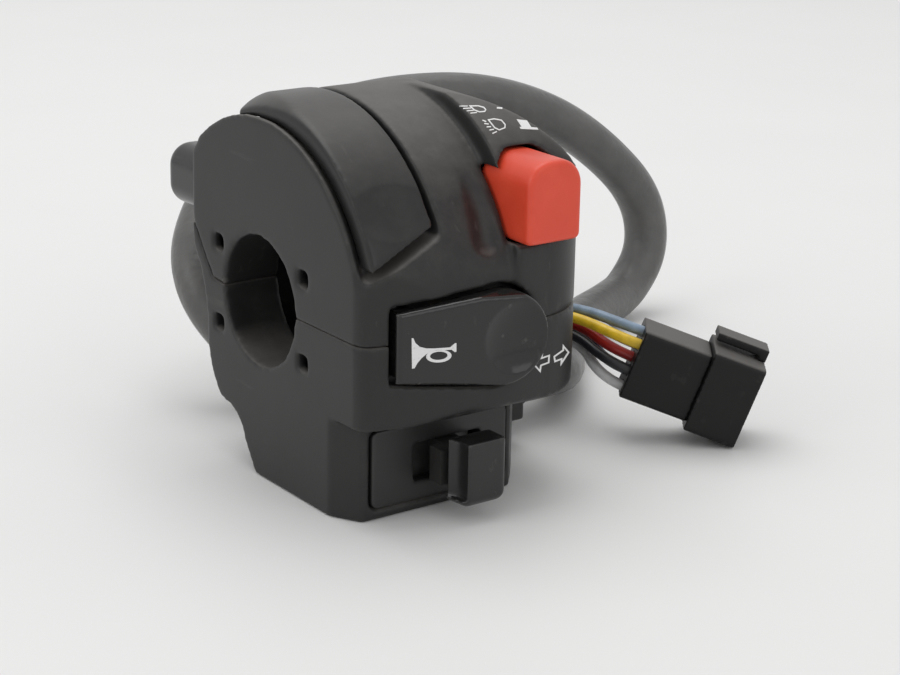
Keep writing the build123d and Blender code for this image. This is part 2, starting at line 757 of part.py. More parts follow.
with BuildPart() as turn_knob:
    knob_low_z = turn_z - knob_h / 2
    left, right = turn_x - knob_w / 2, turn_x + knob_w / 2
    step, ridge = Vector(left, knob_step_y), Vector(left + knob_slope_x, knob_front_y)
    with BuildSketch(Plane.XY.offset(knob_low_z)):
        with BuildLine():
            Polyline((left, knob_back_y), step, ridge, (right, knob_front_y), (right, knob_back_y), close=True)
        make_face()
        fillet(vertices().group_by(Axis.Y)[0], knob_ridge_r)
    extrude(amount=knob_h)
    low_front = turn_knob.edges().filter_by(Axis.X).group_by(Axis.Z)[0].sort_by(Axis.Y)[0]
    fillet(low_front, knob_low_round)
    # hollow for the thumb in the sloping face, with a lip left under it
    outward = (ridge - step).normalized().rotate(Axis.Z, -90)
    hollow = (step + ridge) / 2 + outward * (hollow_r - hollow_depth)
    with BuildSketch(Plane.XY.offset(knob_low_z + lip_h)):
        with Locations((hollow.X, hollow.Y)):
            Circle(hollow_r)
    extrude(amount=knob_h, mode=Mode.SUBTRACT)
    # it slides on the carriage's post
    pocket_end_y = neck_end_y - push_room
    box_between((turn_x - neck_w / 2 - slide_gap, pocket_end_y, turn_z - neck_h / 2 - slide_gap),
                (turn_x + neck_w / 2 + slide_gap, knob_back_y, turn_z + neck_h / 2 + slide_gap), mode=Mode.SUBTRACT)

with BuildPart() as turn_carriage:
    box_between((turn_x - carriage_w / 2, foot_y + wall + slide_gap, turn_z - carriage_h / 2),
                (turn_x + carriage_w / 2, carriage_back_y, turn_z + carriage_h / 2))
    # the post reaches through the slot into the knob
    box_between((turn_x - neck_w / 2, neck_end_y, turn_z - neck_h / 2),
                (turn_x + neck_w / 2, foot_y + wall + slide_gap, turn_z + neck_h / 2))
    box_between((turn_x - knob_w / 2, knob_back_y + knob_travel + slide_gap, turn_z - neck_h / 2),
                (turn_x + knob_w / 2, shank_back_y, turn_z + neck_h / 2))
    ball_x = turn_x - carriage_w / 4 - neck_w / 4
    ball_y = (foot_y + wall + carriage_back_y) / 2
    ball_z = turn_z + carriage_h / 2 - ball_r
    with BuildSketch(Plane.XY.offset(turn_z - carriage_h / 4)):
        with Locations((ball_x, ball_y)):
            Circle(ball_r + running_gap * 2)
    extrude(amount=carriage_h, mode=Mode.SUBTRACT)

with BuildPart() as detent_ball:
    with Locations((ball_x, ball_y, ball_z)):
        Sphere(ball_r)

detent_floor_z = turn_z - carriage_h / 4
detent_spring = coil_spring((ball_x, ball_y, detent_floor_z + detent_wire + slide_gap / 2), (0, 0, 1),
                            ball_r - detent_wire - slide_gap, detent_wire, 3,
                            ball_z - ball_r - detent_floor_z - 2 * detent_wire - slide_gap)

turn_push_spring = coil_spring((turn_x, neck_end_y - slide_gap / 2 - detent_wire, turn_z), (0, -1, 0),
                               neck_w / 2 - detent_wire * 2, detent_wire, 2,
                               neck_end_y - pocket_end_y - slide_gap - 2 * detent_wire)

with BuildPart() as turn_switch_body:
    box_between(turn_body_low, turn_body_high)
    box_between(chamber_low, chamber_high, mode=Mode.SUBTRACT)

with BuildPart() as turn_contact_plate:
    box_between((chamber_low[0] + wall, chamber_high[1] - contact_t, turn_z - contact_w / 2),
                (chamber_high[0] - wall, chamber_high[1], turn_z + contact_w / 2))

# Passing button on the front of the case
with BuildPart() as passing_button:
    with BuildSketch(Plane.XZ.offset(-pass_root_y)):
        pass_outline(0)
    extrude(amount=pass_root_y - pass_nose_y)
    nose = passing_button.faces().sort_by(Axis.Y)[-1]
    fillet(nose.edges(), pass_dome)
    mid_x, mid_z = pass_x + pass_w / 2, pass_low_z + pass_h / 2
    box_between((mid_x - pass_stem_w / 2, pass_stem_end_y, mid_z - pass_stem_w / 2),
                (mid_x + pass_stem_w / 2, pass_root_y, mid_z + pass_stem_w / 2))

with BuildPart() as passing_switch_body:
    box_between((wall, pass_body_y, pass_low_z),
                (pass_x + pass_w, pass_body_end_y, pass_low_z + pass_h - body_gap * 3))
    box_between((mid_x - pass_stem_w / 2 - slide_gap, pass_body_y + pass_floor, mid_z - pass_stem_w / 2 - slide_gap),
                (mid_x + pass_stem_w / 2 + slide_gap, pass_body_end_y, mid_z + pass_stem_w / 2 + slide_gap),
                mode=Mode.SUBTRACT)

passing_spring = coil_spring((mid_x, pass_stem_end_y - slide_gap / 2 - detent_wire, mid_z), (0, -1, 0),
                             pass_stem_w / 2 - detent_wire * 2, detent_wire, 2,
                             pass_stem_end_y - pass_body_y - pass_floor - slide_gap - 2 * detent_wire)

# The loom's boot, a tapered rubber sleeve with a groove for the case wall
with BuildPart() as loom_boot:
    with BuildSketch(Plane.XZ):
        with BuildLine():
            Polyline((case_len - wall - boot_lip, boot_z), (case_len - wall - boot_lip, boot_z + boot_flange_r),
                     (case_len - wall, boot_z + boot_flange_r), (case_len - wall, boot_z + boot_neck_r - slide_gap),
                     (case_len, boot_z + boot_neck_r - slide_gap), (case_len, boot_z + boot_flange_r),
                     (case_len + boot_lip, boot_z + boot_flange_r),
                     (case_len + boot_len, boot_z + loom_r + boot_skin), (case_len + boot_len, boot_z), close=True)
        make_face()
    revolve(axis=Axis((0, 0, boot_z), (1, 0, 0)))
loom_boot.part = loom_boot.part.moved(Location((0, boot_y, 0)))


def cord_tube(name, points, radius):
    """Round tube along straight runs and tangent arcs, each arc as large as its runs allow."""
    route = [Vector(*p) for p in points]
    radii = []
    for before, here, after in zip(route, route[1:], route[2:]):
        run_in, run_out = here - before, after - here
        turn = math.radians(run_in.get_angle(run_out))
        radii.append(arc_share * min(run_in.length, run_out.length) / math.tan(turn / 2))
    with BuildLine() as path:
        FilletPolyline(*route, radius=radii)
    line = path.wires()[0]
    with BuildPart() as tube:
        with BuildSketch(Plane(origin=line @ 0, z_dir=line % 0)):
            Circle(radius)
        sweep(path=line)
    ratio = tube.part.volume / (math.pi * radius ** 2 * line.length)
    print(name, "length", round(line.length, 1), "volume ratio", round(ratio, 4),
          "radii", [round(r, 1) for r in radii])
    return tube


# The loom leaves the boot, lies on the table, folds up, arches over behind the case and comes back low
loom_route = [
    (case_len + boot_len, boot_y, boot_z), (61, boot_y, boot_z), (69, 4.5, -25.5), (76.5, 14.5, -26.5),
    (84.5, 23, -26.5), (94, 29.5, -26.5), (104, 34, -26.5), (112.5, 37.5, -25.5), (119.5, 39, -17.5),
    (119, 41.5, -6.5),
    (108.5, 43, 4.5), (96, 45.5, 13), (80.5, 49, 18), (64, 53, 18.5), (48, 56, 16), (33, 56, 11), (20, 52, 3.5),
    (11, 43.5, -7.5), (14.5, 32.5, -19), (27, 25.5, -26.5), (40, 23.5, -25.5), (51, 18, -19), (57.5, 8.5, -14),
    (60.5, -2.5, -12.8),
]
loom_sleeve = cord_tube("loom_sleeve", loom_route, loom_r)
loom_end = Vector(*loom_route[-1])

# The plug's frame: its corner on the table, x towards its mouth, y across, z up through its top
yaw = math.radians(plug_yaw)
pitch = math.radians(plug_pitch)
plug_plane = Plane(origin=plug_corner,
                   x_dir=(math.cos(yaw) * math.cos(pitch), math.sin(yaw) * math.cos(pitch), -math.sin(pitch)),
                   z_dir=(math.cos(yaw) * math.sin(pitch), math.sin(yaw) * math.sin(pitch), math.cos(pitch)))


def plug_section(back, across, up, mode=Mode.ADD):
    """A block in the plug's frame, from pairs of limits back from its mouth, across and up."""
    with BuildSketch(plug_plane.offset(up[0])) as face:
        with Locations(((back[0] + back[1]) / 2, (across[0] + across[1]) / 2)):
            Rectangle(back[1] - back[0], across[1] - across[0])
    extrude(face.sketch, amount=up[1] - up[0], mode=mode)


plug_back = -(plug_wire_len + plug_mate_len)
# Places of the wires in the plug: shares of its width and height, from the lowest up
wire_seat_share = [(0.34, 0.17), (0.72, 0.28), (0.28, 0.39), (0.5, 0.5), (0.72, 0.61), (0.28, 0.72), (0.5, 0.83)]
# Their places in the loom's end: turns of a ring from the lowest, and none for the middle one
wire_ring_turns = [-105, -45, -165, None, 15, 135, 75]
latch_share = (0.42, 0.84)
wire_names = ["wire_grey", "wire_blue", "wire_black", "wire_red", "wire_white", "wire_yellow", "wire_pale_blue"]
wire_seats = [(a * plug_w, b * plug_h) for a, b in wire_seat_share]

with BuildPart() as connector_housing:
    plug_section((plug_back, -plug_mate_len), (plug_step, plug_w - plug_step), (plug_step, plug_h - plug_step))
    fillet(connector_housing.edges().filter_by(Axis(plug_corner, plug_plane.x_dir)), plug_round)
    with BuildSketch(Plane(origin=plug_plane.from_local_coords((plug_back, 0, 0)),
                           x_dir=plug_plane.y_dir, z_dir=plug_plane.x_dir)):
        with Locations(*wire_seats):
            Circle(wire_r + running_gap)
    extrude(amount=wire_seat_depth, mode=Mode.SUBTRACT)

with BuildPart() as connector_shroud:
    plug_section((-plug_mate_len, 0), (0, plug_w), (0, plug_h))
    fillet(connector_shroud.edges().filter_by(Axis(plug_corner, plug_plane.x_dir)), plug_round)
    plug_section((plug_wall - plug_mate_len, 0), (plug_wall, plug_w - plug_wall), (plug_wall, plug_h - plug_wall),
                 mode=Mode.SUBTRACT)

with BuildPart() as connector_latch:
    latch_low, latch_high = [share * plug_w for share in latch_share]
    plug_section((-plug_mate_len, 0), (latch_low, latch_high), (plug_h + latch_gap, plug_h + latch_gap + latch_t))
    plug_section((-latch_t, 0), (latch_low, latch_high), (plug_h, plug_h + latch_gap))

with BuildPart() as connector_terminals:
    for seat in wire_seats:
        plug_section((plug_wall - plug_mate_len, terminal_len - plug_mate_len),
                     (seat[0] - wire_r / 2, seat[0] + wire_r / 2), (seat[1] - wire_r / 2, seat[1] + wire_r / 2))

# Seven wires between the loom's end and the plug
loom_out = (loom_end - Vector(*loom_route[-2])).normalized()
loom_plane = Plane(origin=loom_end, x_dir=(1, 0, 0), z_dir=loom_out)
wires = {}
for name, turn, seat in zip(wire_names, wire_ring_turns, wire_seats):
    ring = (loom_r - wire_r) * wire_ring_share if turn is not None else 0
    angle = math.radians(turn or 0)
    start = loom_plane.from_local_coords((ring * math.cos(angle), ring * math.sin(angle), 0))
    finish = plug_plane.from_local_coords((plug_back + wire_seat_depth, *seat))
    heading = Vector(*plug_plane.x_dir)
    lead_in = start + loom_out * wire_lead
    lead_out = finish - heading * (wire_end_lead + wire_seat_depth)
    wires[name] = cord_tube(name, [start, lead_in, lead_out, finish], wire_r)

pieces = {
    "upper_case": upper_case, "lower_case": lower_case, "case_screws": case_screws,
    "choke_lever": choke_lever, "choke_washer": choke_washer,
    "horn_button": horn_button, "horn_pivot_pin": horn_pivot_pin, "horn_base": horn_base,
    "horn_spring": horn_spring, "horn_contacts": horn_contacts,
    "beam_button": beam_button, "beam_switch_body": beam_switch_body, "beam_spring": beam_spring,
    "turn_face_plate": turn_face_plate, "turn_knob": turn_knob, "turn_carriage": turn_carriage,
    "turn_switch_body": turn_switch_body, "turn_contact_plate": turn_contact_plate,
    "turn_push_spring": turn_push_spring, "detent_ball": detent_ball, "detent_spring": detent_spring,
    "passing_button": passing_button, "passing_switch_body": passing_switch_body,
    "passing_spring": passing_spring,
    "loom_boot": loom_boot, "loom_sleeve": loom_sleeve,
    "connector_housing": connector_housing, "connector_shroud": connector_shroud,
    "connector_latch": connector_latch, "connector_terminals": connector_terminals,
    **wires,
}
for name, piece in pieces.items():
    piece.part.label = name
    export_step(piece.part, f"parts/{name}.step")
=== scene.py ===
# %% [markdown]
# # Handlebar switch cluster, seen from the rider's side
#
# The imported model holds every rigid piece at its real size. This lesson gives the pieces their
# finish: softly rounded mouldings, printed symbols, a vinyl loom with seven wires, and a camera
# and lights like a product photograph's. The frame is loaded first, because every later piece
# takes its place from it. All lengths are metres, so sizes are written as millimetres times MM.

# %% Load the frame
import json
import math

import bmesh
import bpy
from mathutils import Matrix, Vector
from mathutils.bvhtree import BVHTree


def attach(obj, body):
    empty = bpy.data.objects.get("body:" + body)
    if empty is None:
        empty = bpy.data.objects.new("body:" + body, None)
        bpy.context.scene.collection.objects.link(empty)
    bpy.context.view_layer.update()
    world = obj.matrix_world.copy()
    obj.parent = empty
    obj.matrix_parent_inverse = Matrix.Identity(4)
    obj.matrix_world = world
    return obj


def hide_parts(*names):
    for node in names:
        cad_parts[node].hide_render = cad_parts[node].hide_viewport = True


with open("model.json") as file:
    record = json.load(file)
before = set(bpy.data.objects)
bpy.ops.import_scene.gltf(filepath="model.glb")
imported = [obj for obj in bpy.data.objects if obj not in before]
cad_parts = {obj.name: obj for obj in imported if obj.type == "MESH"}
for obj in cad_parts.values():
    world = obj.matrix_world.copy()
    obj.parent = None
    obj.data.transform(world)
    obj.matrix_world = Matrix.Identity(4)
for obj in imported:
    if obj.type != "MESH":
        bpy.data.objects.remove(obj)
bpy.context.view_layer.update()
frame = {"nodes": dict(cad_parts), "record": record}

MM = 0.001
record_bodies = frame["record"]["behaviour"]["bodies"]
body_of_node = {node: body for body, nodes in record_bodies.items() for node in nodes}
scene = bpy.context.scene
bpy.ops.object.select_all(action="DESELECT")

# %% [markdown]
# ## The camera
#
# The camera stands where the photograph was taken from, a little above the cluster and on its
# outboard side, with a long lens. Its three axes are worked out from the heading, the tilt and
# the roll. The picture's lower edge holds a blank band, so the lens is shifted by that much.

# %% Camera
IMAGE_W, IMAGE_H = 900, 675
FOCAL_PX = 2200
CENTRE_PX = (450, 300)      # where the lens axis meets the picture
SENSOR = 36.0               # millimetres, the picture's width on the sensor
CAMERA_PLACE = Vector((-179.57, -300.53, 106.88)) * MM
HEADING, TILT, ROLL = (math.radians(a) for a in (36.06, 16.91, 1.07))

ahead = Vector((math.sin(HEADING) * math.cos(TILT), math.cos(HEADING) * math.cos(TILT), -math.sin(TILT)))
level_right = Vector((math.cos(HEADING), -math.sin(HEADING), 0))
level_up = level_right.cross(ahead)
right = math.cos(ROLL) * level_right + math.sin(ROLL) * level_up
up = -math.sin(ROLL) * level_right + math.cos(ROLL) * level_up

camera_data = bpy.data.cameras.new("camera")
camera_data.sensor_width = SENSOR
camera_data.lens = FOCAL_PX / IMAGE_W * SENSOR
camera_data.shift_y = (CENTRE_PX[1] - IMAGE_H / 2) / IMAGE_W
camera_data.clip_start, camera_data.clip_end = 0.01, 20
camera = bpy.data.objects.new("camera", camera_data)
scene.collection.objects.link(camera)
axes = Matrix((right, up, -ahead)).transposed().to_4x4()
camera.matrix_world = Matrix.Translation(CAMERA_PLACE) @ axes
scene.camera = camera


def ray_through(px, py):
    """Direction from the camera through a point of the picture."""
    across, down = (px - CENTRE_PX[0]) / FOCAL_PX, (py - CENTRE_PX[1]) / FOCAL_PX
    return (ahead + right * across - up * down).normalized()


# %% [markdown]
# ## The loom and its wires
#
# The loom is a soft vinyl sleeve over seven wires. A cord is best made as one smooth curve with
# a round bevel, through the same points as its solid in the frame. A NURBS curve of order 3
# gives bends that flow into each other, as a limp sleeve's do.

# %% Cords
LOOM_D, WIRE_D = 9.0 * MM, 1.9 * MM
LOOM_ROUTE = [
    (52, -2.4, -22.6), (61, -2.4, -22.6), (69, 4.5, -25.5), (76.5, 14.5, -26.5), (84.5, 23, -26.5),
    (94, 29.5, -26.5), (104, 34, -26.5), (112.5, 37.5, -25.5), (119.5, 39, -17.5), (119, 41.5, -6.5),
    (108.5, 43, 4.5), (96, 45.5, 13), (80.5, 49, 18),
    (64, 53, 18.5), (48, 56, 16), (33, 56, 11), (20, 52, 3.5), (11, 43.5, -7.5), (14.5, 32.5, -19),
    (27, 25.5, -26.5), (40, 23.5, -25.5), (51, 18, -19), (57.5, 8.5, -14), (60.5, -2.5, -12.8),
]


def smooth_cord(name, points, radius):
    """A round cord along a NURBS spline whose control points are the route's, with the points of its line."""
    data = bpy.data.curves.new(f"{name}_line", "CURVE")
    data.dimensions = "3D"
    spline = data.splines.new("NURBS")
    spline.points.add(len(points) - 1)
    for control, point in zip(spline.points, points):
        control.co = (*point, 1)
    spline.order_u = 3
    spline.use_endpoint_u = True
    spline.use_smooth = True
    spline.resolution_u = 16
    guide = bpy.data.objects.new(f"{name}_line", data)
    scene.collection.objects.link(guide)
    line = bpy.data.meshes.new_from_object(guide)
    path = [point.co.copy() for point in line.vertices]
    bpy.data.meshes.remove(line)
    data.bevel_depth = radius
    data.bevel_resolution = 6
    data.use_fill_caps = True
    piece = bpy.data.objects.new(name, bpy.data.meshes.new_from_object(guide))
    scene.collection.objects.link(piece)
    bpy.data.objects.remove(guide)
    return piece, path


def path_length(path):
    """Length of a cord's line."""
    return sum((after - before).length for before, after in zip(path, path[1:]))


loom, loom_path = smooth_cord("loom", [Vector(p) * MM for p in LOOM_ROUTE], LOOM_D / 2)
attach(loom, "case")
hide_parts("loom_sleeve")
loom_length = path_length(loom_path)
print("loom", round(loom_length / MM, 1), "mm")

# %% [markdown]
# The plug lies on the table on one corner, turned towards the rider and tipped down. Its own
# three axes place whatever sits on it: x towards its mouth, y across it and z out of its top.
# Each wire leaves the loom's end beside its neighbours and enters its own hole in the plug.

# %% Plug frame and wires
PLUG_CORNER = Vector((76.4, -35.0, -30.9)) * MM
PLUG_YAW, PLUG_PITCH = math.radians(-38.7), math.radians(19.5)
PLUG_W, PLUG_H, PLUG_BACK = 12.0 * MM, 15.5 * MM, -22.2 * MM
SEAT_DEPTH, WIRE_LEAD, WIRE_END_LEAD = 1.5 * MM, 6.5 * MM, 4.0 * MM
RING_R = (LOOM_D / 2 - WIRE_D / 2) * 0.75
plug_x = Vector((math.cos(PLUG_YAW) * math.cos(PLUG_PITCH), math.sin(PLUG_YAW) * math.cos(PLUG_PITCH),
                 -math.sin(PLUG_PITCH)))
plug_z = Vector((math.cos(PLUG_YAW) * math.sin(PLUG_PITCH), math.sin(PLUG_YAW) * math.sin(PLUG_PITCH),
                 math.cos(PLUG_PITCH)))
plug_y = plug_z.cross(plug_x)


def on_plug(x, y, z):
    """A point given along the plug's own axes."""
    return PLUG_CORNER + plug_x * x + plug_y * y + plug_z * z


loom_end = Vector(LOOM_ROUTE[-1]) * MM
loom_out = (loom_end - Vector(LOOM_ROUTE[-2]) * MM).normalized()
ring_x = (Vector((1, 0, 0)) - loom_out * loom_out.x).normalized()
ring_y = loom_out.cross(ring_x)
WIRES = {
    "wire_grey": (-105, 0.34, 0.17), "wire_blue": (-45, 0.72, 0.28), "wire_black": (-165, 0.28, 0.39),
    "wire_red": (None, 0.5, 0.5), "wire_white": (15, 0.72, 0.61), "wire_yellow": (135, 0.28, 0.72),
    "wire_pale_blue": (75, 0.5, 0.83),
}
wires = {}
wire_lengths = {}
for node, (turn, across, height) in WIRES.items():
    angle = math.radians(turn or 0)
    ring = RING_R if turn is not None else 0
    start = loom_end + (ring_x * math.cos(angle) + ring_y * math.sin(angle)) * ring
    finish = on_plug(PLUG_BACK + SEAT_DEPTH, across * PLUG_W, height * PLUG_H)
    points = [start, start + loom_out * WIRE_LEAD, finish - plug_x * (WIRE_END_LEAD + SEAT_DEPTH), finish]
    wire, wire_path = smooth_cord(f"{node}_lead", points, WIRE_D / 2)
    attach(wire, "case")
    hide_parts(node)
    wires[node] = wire
    wire_lengths[node] = round(path_length(wire_path) / MM, 1)
print("wires", wire_lengths)

# %% [markdown]
# ## Softly rounded mouldings
#
# Moulded plastic has no knife edges: every corner is rounded by half a millimetre or so, and the
# light that it catches there is what makes it look real. The solids have sharp edges, so each
# visible one is copied, given an even mesh by a voxel remesh, and smoothed a little, which wears
# the edges round and leaves the faces where they are. The copy then stands for the solid.

# %% Rounding helper
WELD = 0.002 * MM           # points nearer than this are one point
WEAR = 0.5                  # how far one smoothing pass moves a point towards its neighbours


def only(piece):
    """Makes a piece the one that is selected and active."""
    bpy.ops.object.select_all(action="DESELECT")
    piece.select_set(True)
    bpy.context.view_layer.objects.active = piece


def rounded(node, voxel, passes):
    """A copy of a CAD piece with an even mesh and softly rounded edges, in its place."""
    piece = bpy.data.objects.new(f"{node}_moulding", frame["nodes"][node].data.copy())
    scene.collection.objects.link(piece)
    piece.data.materials.clear()
    only(piece)
    bpy.ops.object.mode_set(mode="EDIT")
    bpy.ops.mesh.select_all(action="SELECT")
    bpy.ops.mesh.remove_doubles(threshold=WELD)
    bpy.ops.object.mode_set(mode="OBJECT")
    even = piece.modifiers.new("even_mesh", "REMESH")
    even.mode = "VOXEL"
    even.voxel_size = voxel
    even.use_smooth_shade = True
    worn = piece.modifiers.new("worn_edges", "SMOOTH")
    worn.factor = WEAR
    worn.iterations = passes
    for modifier in (even.name, worn.name):
        bpy.ops.object.modifier_apply(modifier=modifier)
    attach(piece, body_of_node[node])
    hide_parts(node)
    print(piece.name, len(piece.data.polygons), "faces")
    return piece


# %% [markdown]
# The two halves of the case are large, so their mesh is coarser. The lever, the buttons and the
# plug are small and near the eye, so theirs is finer.

# %% Mouldings
CASE_VOXEL, LEVER_VOXEL, BUTTON_VOXEL, LATCH_VOXEL = 0.46 * MM, 0.3 * MM, 0.26 * MM, 0.2 * MM
upper = rounded("upper_case", CASE_VOXEL, 14)
lower = rounded("lower_case", CASE_VOXEL, 7)
lever = rounded("choke_lever", LEVER_VOXEL, 24)
horn = rounded("horn_button", BUTTON_VOXEL, 5)
beam = rounded("beam_button", BUTTON_VOXEL, 6)
knob = rounded("turn_knob", BUTTON_VOXEL, 5)
passing = rounded("passing_button", BUTTON_VOXEL, 6)
plate = rounded("turn_face_plate", BUTTON_VOXEL, 3)
housing = rounded("connector_housing", BUTTON_VOXEL, 3)
shroud = rounded("connector_shroud", BUTTON_VOXEL, 3)
latch = rounded("connector_latch", LATCH_VOXEL, 3)
boot = rounded("loom_boot", BUTTON_VOXEL, 4)

# %% [markdown]
# ## Cords
#
# The wires run from the end of the loom into the plug, and the plug's pieces go with the loom.

# %% [markdown]
# ## Printed symbols
#
# The symbols are pad-printed on the finished mouldings. Their outlines are drawn flat, as seen
# in the picture, filled, cut finely, and dropped along the camera's rays onto the moulding that
# carries them. Each becomes a film of paint a few hundredths of a millimetre thick.

# %% Printing helper
PRINT_LIFT, PRINT_T = 0.05 * MM, 0.07 * MM


def surface_of(*pieces):
    """Ray-casting trees of some pieces."""
    trees = []
    for piece in pieces:
        shape = bmesh.new()
        shape.from_mesh(piece.data)
        trees.append(BVHTree.FromBMesh(shape))
        shape.free()
    return trees


def printed(name, outlines, carrier, body, cuts=2):
    """A film of paint from closed outlines in picture pixels, holes included, laid on a carrier."""
    flat = bpy.data.curves.new(name, "CURVE")
    flat.dimensions = "2D"
    flat.fill_mode = "BOTH"
    for outline in outlines:
        spline = flat.splines.new("POLY")
        spline.points.add(len(outline) - 1)
        for point, (x, y) in zip(spline.points, outline):
            point.co = (x * MM, -y * MM, 0, 1)
        spline.use_cyclic_u = True
    film = bpy.data.objects.new(name, flat)
    scene.collection.objects.link(film)
    only(film)
    bpy.ops.object.convert(target="MESH")
    film = bpy.context.view_layer.objects.active
    bpy.ops.object.mode_set(mode="EDIT")
    bpy.ops.mesh.select_all(action="SELECT")
    bpy.ops.mesh.remove_doubles(threshold=0.01 * MM)
    bpy.ops.mesh.subdivide(number_cuts=cuts)
    bpy.ops.mesh.quads_convert_to_tris()
    bpy.ops.object.mode_set(mode="OBJECT")
    trees = surface_of(*carrier)
    shape = bmesh.new()
    shape.from_mesh(film.data)
    missed = []
    for vertex in shape.verts:
        way = ray_through(vertex.co.x / MM, -vertex.co.y / MM)
        hits = [tree.ray_cast(CAMERA_PLACE, way) for tree in trees]
        hits = sorted((hit for hit in hits if hit[0] is not None), key=lambda hit: hit[3])
        if hits:
            vertex.co = hits[0][0] + hits[0][1] * PRINT_LIFT
        else:
            missed.append(vertex)
    lost = len(missed)
    bmesh.ops.delete(shape, geom=missed, context="VERTS")
    shape.to_mesh(film.data)
    shape.free()
    film.data.update()
    facing = sum(face.normal.dot(ahead) * face.area for face in film.data.polygons)
    if facing > 0:
        film.data.flip_normals()
    thick = film.modifiers.new("paint", "SOLIDIFY")
    thick.thickness = PRINT_T
    thick.offset = -1
    only(film)
    bpy.ops.object.modifier_apply(modifier=thick.name)
    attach(film, body)
    print(name, len(film.data.polygons), "faces,", lost, "points off the carrier")
    return film


def ellipse(cx, cy, rx, ry, turn=0.0, steps=28):
    """Outline of an ellipse turned by an angle in degrees."""
    a = math.radians(turn)
    points = []
    for step in range(steps):
        t = 2 * math.pi * step / steps
        x, y = rx * math.cos(t), ry * math.sin(t)
        points.append((cx + x * math.cos(a) - y * math.sin(a), cy + x * math.sin(a) + y * math.cos(a)))
    return points


def stroke(start, end, width):
    """A straight bar between two points."""
    (x0, y0), (x1, y1) = start, end
    long = math.hypot(x1 - x0, y1 - y0)
    dx, dy = (y1 - y0) / long * width / 2, -(x1 - x0) / long * width / 2
    return [(x0 + dx, y0 + dy), (x1 + dx, y1 + dy), (x1 - dx, y1 - dy), (x0 - dx, y0 - dy)]


def shrunk(outline, by):
    """An outline drawn in by a distance, for the hole of a hollow symbol."""
    made = []
    count = len(outline)
    area = sum(outline[i][0] * outline[(i + 1) % count][1] - outline[(i + 1) % count][0] * outline[i][1]
               for i in range(count))
    side = 1 if area > 0 else -1
    for i, (x, y) in enumerate(outline):
        before, after = outline[i - 1], outline[(i + 1) % count]
        ways = []
        for (x0, y0), (x1, y1) in ((before, (x, y)), ((x, y), after)):
            long = math.hypot(x1 - x0, y1 - y0)
            ways.append((-(y1 - y0) / long * side, (x1 - x0) / long * side))
        sx, sy = ways[0][0] + ways[1][0], ways[0][1] + ways[1][1]
        scale = 2 / (sx * sx + sy * sy)
        made.append((x + sx * by * scale, y + sy * by * scale))
    return made


# %% [markdown]
# The horn is on the paddle, and the two hollow arrows of the turn switch are on the case beside
# it. The lamp symbols and the two marks of the beam button's positions are on top of the case.

# %% Symbols
HORN_BELL = [
    (411.6, 338.2), (413.2, 338.2), (415.4, 343.0), (419.8, 346.8), (426.4, 348.4), (434.2, 348.4),
    (450.0, 347.3), (454.8, 343.2), (456.3, 343.0), (456.3, 351.6), (454.5, 352.0), (451.4, 349.6),
    (443.5, 350.2), (436.5, 350.4), (430.6, 351.6), (426.2, 354.2), (421.6, 358.0), (417.2, 363.2),
    (414.4, 368.2), (411.9, 368.6),
]
HORN_RING = ellipse(438.7, 356.1, 12.8, 6.3, -4)
HORN_RING_HOLE = ellipse(438.7, 355.7, 8.8, 4.1, -4)
ARROW_LEFT = [(533.3, 364.9), (543.4, 350.6), (542.3, 357.1), (549.8, 354.4), (549.2, 363.0), (541.4, 365.9),
              (540.4, 372.8)]
ARROW_RIGHT = [(569.3, 352.2), (562.6, 344.2), (562.3, 349.8), (553.3, 356.2), (554.2, 362.4), (560.6, 360.0),
               (560.2, 366.2)]
ARROW_LINE = 1.5
DIPPED_LAMP = [(468.6, 105.6), (478.2, 105.4), (484.0, 107.0), (486.3, 109.6), (485.2, 112.0), (479.4, 112.6),
               (474.0, 110.6)]
MAIN_LAMP = [(487.4, 119.6), (494.0, 118.4), (501.6, 119.8), (505.6, 124.4), (505.4, 128.2), (499.2, 130.6),
             (494.4, 128.4)]
DIPPED_RAYS = [
    ((459.6, 106.2), (467.6, 106.2)), ((463.2, 108.6), (471.0, 108.2)),
    ((466.8, 111.0), (474.2, 110.4)), ((470.4, 113.3), (477.0, 112.6)),
]
MAIN_RAYS = [
    ((482.4, 120.2), (486.2, 121.8)), ((484.2, 123.6), (488.6, 124.2)), ((486.6, 127.0), (491.0, 126.8)),
    ((489.4, 130.2), (493.8, 129.4)), ((492.4, 133.6), (496.8, 131.6)),
]
LAMP_LINE, RAY_W, MAIN_RAY_W = 1.1, 0.9, 1.1
SHORT_MARK = stroke((496.8, 107.9), (513.2, 109.3), 1.5)
BLOCK_MARK = [(516.6, 119.4), (526.8, 120.6), (531.2, 127.2), (537.0, 127.8), (538.2, 129.8), (520.6, 129.0),
              (519.6, 126.9), (521.6, 127.0)]

